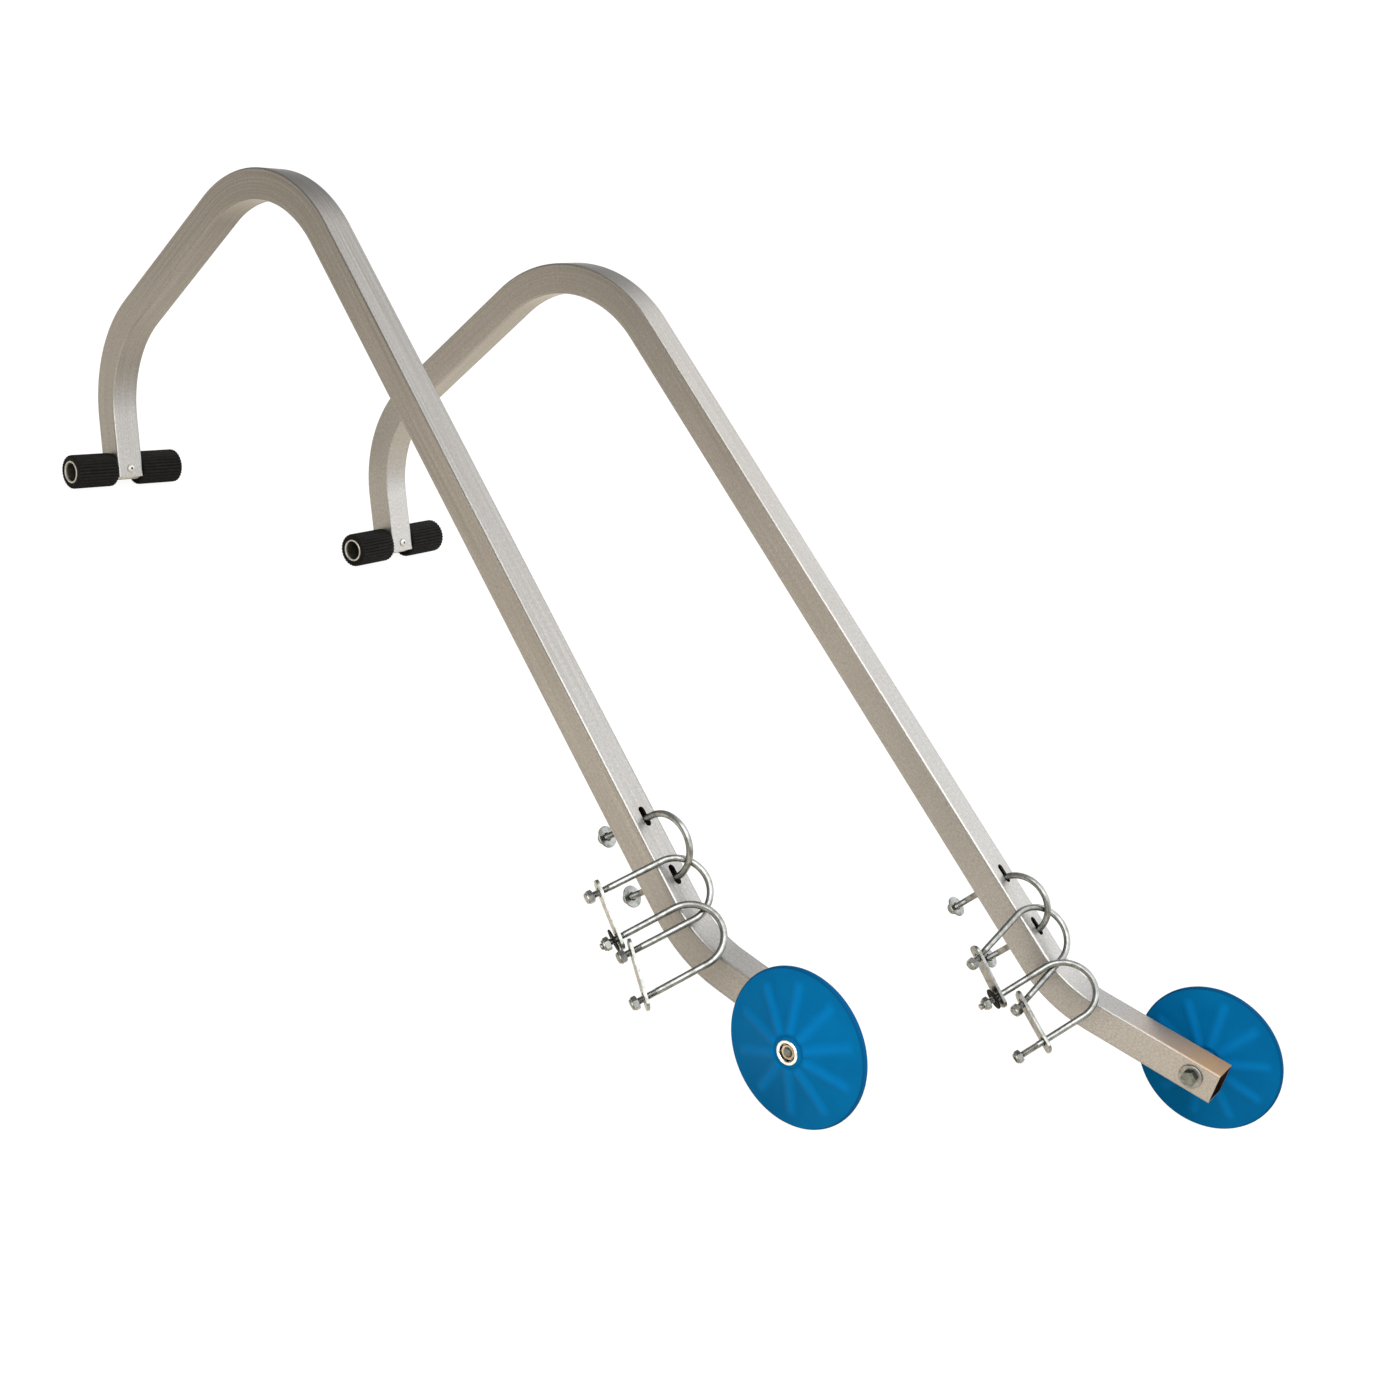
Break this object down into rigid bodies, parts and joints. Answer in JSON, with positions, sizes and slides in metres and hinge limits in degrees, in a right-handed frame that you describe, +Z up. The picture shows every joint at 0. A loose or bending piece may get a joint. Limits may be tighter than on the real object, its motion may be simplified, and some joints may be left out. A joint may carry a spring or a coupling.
{
  "type": "ladder ridge hook pair",
  "caption": "Pair of bent square-tube roof ridge hooks with rubber-sleeved feet, wheels and U-bolt rung clamps that hold a ladder on a pitched roof.",
  "frame": {"origin": "centre of the bounding box, on the floor that both hooks stand on", "axes": "+X from the foot of the left hook towards its wheel, +Y from the left hook towards the right hook, +Z up"},
  "size_m": [1.436, 0.488, 0.4478],
  "materials": {
    "extruded_aluminium": "extruded mill finish",
    "zinc_plated_steel": "bright zinc plate",
    "black_rubber": "finely ribbed, matt",
    "blue_plastic": "moulded, satin"
  },
  "bodies": {
    "left_hook": {"left_hook_tube": "extruded_aluminium", "left_cross_tube": "zinc_plated_steel", "left_front_sleeve": "black_rubber", "left_back_sleeve": "black_rubber", "left_foot_screw": "zinc_plated_steel", "left_axle_bolt": "zinc_plated_steel", "left_axle_washer": "zinc_plated_steel", "left_axle_nut": "zinc_plated_steel", "left_wheel_bushing": "zinc_plated_steel"},
    "left_wheel_body": {"left_wheel": "blue_plastic"},
    "left_slot_bolt": {"left_slot_u_bolt": "zinc_plated_steel"},
    "left_slot_upper_nut_body": {"left_slot_upper_nut": "zinc_plated_steel", "left_slot_upper_washer": "zinc_plated_steel"},
    "left_slot_lower_nut_body": {"left_slot_lower_nut": "zinc_plated_steel", "left_slot_lower_washer": "zinc_plated_steel"},
    "left_clamp_bolts": {"left_back_u_bolt": "zinc_plated_steel", "left_front_u_bolt": "zinc_plated_steel"},
    "left_upper_strap_body": {"left_upper_strap": "zinc_plated_steel"},
    "left_back_upper_nut_body": {"left_back_upper_nut": "zinc_plated_steel"},
    "left_front_upper_nut_body": {"left_front_upper_nut": "zinc_plated_steel", "left_front_upper_washer": "black_rubber"},
    "left_lower_strap_body": {"left_lower_strap": "zinc_plated_steel"},
    "left_back_lower_nut_body": {"left_back_lower_nut": "zinc_plated_steel"},
    "left_front_lower_nut_body": {"left_front_lower_nut": "zinc_plated_steel"},
    "right_hook": {"right_hook_tube": "extruded_aluminium", "right_cross_tube": "zinc_plated_steel", "right_front_sleeve": "black_rubber", "right_back_sleeve": "black_rubber", "right_foot_screw": "zinc_plated_steel", "right_axle_bolt": "zinc_plated_steel", "right_axle_washer": "zinc_plated_steel", "right_axle_nut": "zinc_plated_steel", "right_wheel_bushing": "zinc_plated_steel"},
    "right_wheel_body": {"right_wheel": "blue_plastic"},
    "right_slot_bolt": {"right_slot_u_bolt": "zinc_plated_steel"},
    "right_slot_upper_nut_body": {"right_slot_upper_nut": "zinc_plated_steel", "right_slot_upper_washer": "zinc_plated_steel"},
    "right_slot_lower_nut_body": {"right_slot_lower_nut": "zinc_plated_steel", "right_slot_lower_washer": "zinc_plated_steel"},
    "right_clamp_bolts": {"right_back_u_bolt": "zinc_plated_steel", "right_front_u_bolt": "zinc_plated_steel"},
    "right_upper_strap_body": {"right_upper_strap": "zinc_plated_steel"},
    "right_back_upper_nut_body": {"right_back_upper_nut": "zinc_plated_steel"},
    "right_front_upper_nut_body": {"right_front_upper_nut": "zinc_plated_steel", "right_front_upper_washer": "black_rubber"},
    "right_lower_strap_body": {"right_lower_strap": "zinc_plated_steel"},
    "right_back_lower_nut_body": {"right_back_lower_nut": "zinc_plated_steel"},
    "right_front_lower_nut_body": {"right_front_lower_nut": "zinc_plated_steel"}
  },
  "joints": [
    {"name": "left_wheel_spin", "type": "hinge", "parent": "left_hook", "child": "left_wheel_body", "pos_m": [0.44339, -0.184, 0.071], "axis": [0, -1, 0], "continuous": true},
    {"name": "left_slot_bolt_slide", "type": "slide", "parent": "left_hook", "child": "left_slot_bolt", "axis": [0.5807, 0, 0.8141], "range_m": [0, 0.008]},
    {"name": "left_slot_upper_nut_travel", "type": "slide", "parent": "left_slot_bolt", "child": "left_slot_upper_nut_body", "axis": [0.5807, 0, 0.8141], "range_m": [-0.003, 0.006]},
    {"name": "left_slot_lower_nut_travel", "type": "slide", "parent": "left_slot_bolt", "child": "left_slot_lower_nut_body", "axis": [0.5807, 0, 0.8141], "range_m": [-0.003, 0.006]},
    {"name": "left_clamp_slide", "type": "slide", "parent": "left_hook", "child": "left_clamp_bolts", "axis": [-0.891, 0, 0.454], "range_m": [0, 0.026]},
    {"name": "left_upper_strap_travel", "type": "slide", "parent": "left_clamp_bolts", "child": "left_upper_strap_body", "axis": [0.2296, 0.8265, 0.514], "range_m": [-0.003, 0.002]},
    {"name": "left_back_upper_nut_travel", "type": "slide", "parent": "left_clamp_bolts", "child": "left_back_upper_nut_body", "axis": [0.2015, 0.8639, 0.4616], "range_m": [-0.003, 0.002]},
    {"name": "left_front_upper_nut_travel", "type": "slide", "parent": "left_clamp_bolts", "child": "left_front_upper_nut_body", "axis": [0.2566, 0.7851, 0.5638], "range_m": [-0.003, 0.002]},
    {"name": "left_lower_strap_travel", "type": "slide", "parent": "left_clamp_bolts", "child": "left_lower_strap_body", "axis": [0.2296, 0.8265, 0.514], "range_m": [-0.001, 0.006]},
    {"name": "left_back_lower_nut_travel", "type": "slide", "parent": "left_clamp_bolts", "child": "left_back_lower_nut_body", "axis": [0.2015, 0.8639, 0.4616], "range_m": [-0.001, 0.006]},
    {"name": "left_front_lower_nut_travel", "type": "slide", "parent": "left_clamp_bolts", "child": "left_front_lower_nut_body", "axis": [0.2566, 0.7851, 0.5638], "range_m": [-0.001, 0.006]},
    {"name": "right_hook_spacing", "type": "slide", "parent": "left_hook", "child": "right_hook", "axis": [0, 1, 0], "range_m": [-0.05, 0.15]},
    {"name": "right_wheel_spin", "type": "hinge", "parent": "right_hook", "child": "right_wheel_body", "pos_m": [0.64717, 0.22772, 0.071], "axis": [-0.0955, 0.9954, 0], "continuous": true},
    {"name": "right_slot_bolt_slide", "type": "slide", "parent": "right_hook", "child": "right_slot_bolt", "axis": [0.4519, 0.0434, 0.891], "range_m": [0, 0.008]},
    {"name": "right_slot_upper_nut_travel", "type": "slide", "parent": "right_slot_bolt", "child": "right_slot_upper_nut_body", "axis": [0.4519, 0.0434, 0.891], "range_m": [-0.003, 0.01]},
    {"name": "right_slot_lower_nut_travel", "type": "slide", "parent": "right_slot_bolt", "child": "right_slot_lower_nut_body", "axis": [0.4519, 0.0434, 0.891], "range_m": [-0.003, 0.01]},
    {"name": "right_clamp_slide", "type": "slide", "parent": "right_hook", "child": "right_clamp_bolts", "axis": [-0.8869, -0.0851, 0.454], "range_m": [0, 0.018]},
    {"name": "right_upper_strap_travel", "type": "slide", "parent": "right_clamp_bolts", "child": "right_upper_strap_body", "axis": [0.076, 0.8229, 0.5631], "range_m": [-0.003, 0.005]},
    {"name": "right_back_upper_nut_travel", "type": "slide", "parent": "right_clamp_bolts", "child": "right_back_upper_nut_body", "axis": [-0.0833, 0.8542, 0.5132], "range_m": [-0.003, 0.005]},
    {"name": "right_front_upper_nut_travel", "type": "slide", "parent": "right_clamp_bolts", "child": "right_front_upper_nut_body", "axis": [0.2331, 0.7679, 0.5967], "range_m": [-0.003, 0.005]},
    {"name": "right_lower_strap_travel", "type": "slide", "parent": "right_clamp_bolts", "child": "right_lower_strap_body", "axis": [0.076, 0.8229, 0.5631], "range_m": [-0.001, 0.002]},
    {"name": "right_back_lower_nut_travel", "type": "slide", "parent": "right_clamp_bolts", "child": "right_back_lower_nut_body", "axis": [-0.0833, 0.8542, 0.5132], "range_m": [-0.001, 0.002]},
    {"name": "right_front_lower_nut_travel", "type": "slide", "parent": "right_clamp_bolts", "child": "right_front_lower_nut_body", "axis": [0.2331, 0.7679, 0.5967], "range_m": [-0.001, 0.012]}
  ],
  "couplings": [
    {"joint": "left_back_upper_nut_travel", "follows": "left_upper_strap_travel", "ratio": 1},
    {"joint": "left_front_upper_nut_travel", "follows": "left_upper_strap_travel", "ratio": 1},
    {"joint": "left_back_lower_nut_travel", "follows": "left_lower_strap_travel", "ratio": 1},
    {"joint": "left_front_lower_nut_travel", "follows": "left_lower_strap_travel", "ratio": 1},
    {"joint": "right_back_upper_nut_travel", "follows": "right_upper_strap_travel", "ratio": 1},
    {"joint": "right_front_upper_nut_travel", "follows": "right_upper_strap_travel", "ratio": 1},
    {"joint": "right_back_lower_nut_travel", "follows": "right_lower_strap_travel", "ratio": 1}
  ]
}
